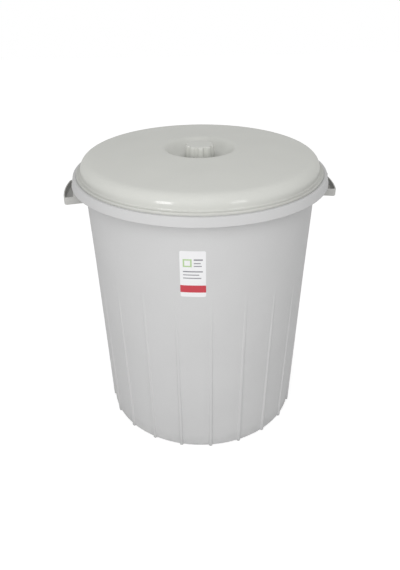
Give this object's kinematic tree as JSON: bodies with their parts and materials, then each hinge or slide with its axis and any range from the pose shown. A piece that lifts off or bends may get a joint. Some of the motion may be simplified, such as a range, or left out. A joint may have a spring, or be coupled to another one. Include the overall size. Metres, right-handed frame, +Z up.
{
  "type": "trash can",
  "caption": "Round tapering plastic trash can with upright ribs, a turned-over rim with side hand-holds, and a domed lift-off lid with a fluted knob in a sunk dish.",
  "frame": {"origin": "on the ground under the middle of the bin", "axes": "+Z up, the hand-holds on +X and -X, the front with the sticker towards -Y"},
  "size_m": [0.5208, 0.4876, 0.574],
  "materials": {
    "tub_plastic": "light grey moulded polypropylene, satin",
    "lid_plastic": "light grey moulded polypropylene, semi-gloss",
    "label_film": "white printed film sticker"
  },
  "bodies": {
    "tub": {"tub": "tub_plastic", "label": "label_film"},
    "lid": {"lid": "lid_plastic"}
  },
  "joints": [
    {"name": "lid_lift", "type": "slide", "parent": "tub", "child": "lid", "axis": [0, 0, 1], "range_m": [0, 0.45]}
  ]
}
